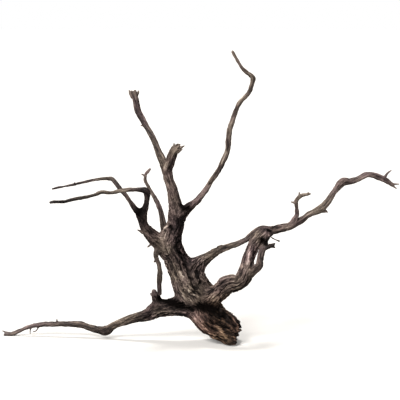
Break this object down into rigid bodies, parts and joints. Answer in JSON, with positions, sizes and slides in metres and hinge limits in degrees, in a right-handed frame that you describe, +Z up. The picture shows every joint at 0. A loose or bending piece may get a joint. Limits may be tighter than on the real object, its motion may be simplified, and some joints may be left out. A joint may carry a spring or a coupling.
{
  "type": "aquarium driftwood root",
  "caption": "Dark weathered driftwood root with a torn stump, a forked trunk and crooked limbs, free-standing on its stump and one root tip.",
  "frame": {"origin": "on the worn flat face under the torn stump, which stands on the floor", "axes": "+Z up, +X along the long right limb (to the right from the front), +Y to the back"},
  "size_m": [0.5051, 0.1599, 0.3699],
  "materials": {
    "weathered_wood": "dark grey-brown barkless root wood, fissured along the grain, dry and matt, with worn tan ridges and a warmer torn stump",
    "thin_wood": "thin twigs of the same wood, smoother, with tan streaks where they are worn"
  },
  "bodies": {
    "root": {"trunk": "weathered_wood", "left_root": "weathered_wood", "right_arm": "weathered_wood", "arm_left_prong": "weathered_wood", "arm_right_prong": "weathered_wood", "long_right_limb": "weathered_wood", "upright_twig": "thin_wood", "upper_stem": "weathered_wood", "tall_left_limb": "weathered_wood", "torn_stub": "weathered_wood", "tall_right_limb": "weathered_wood", "left_fork_limb": "weathered_wood", "left_upper_prong": "thin_wood", "left_lower_prong": "thin_wood", "inner_twig": "thin_wood", "hanging_twig": "thin_wood"}
  },
  "joints": []
}
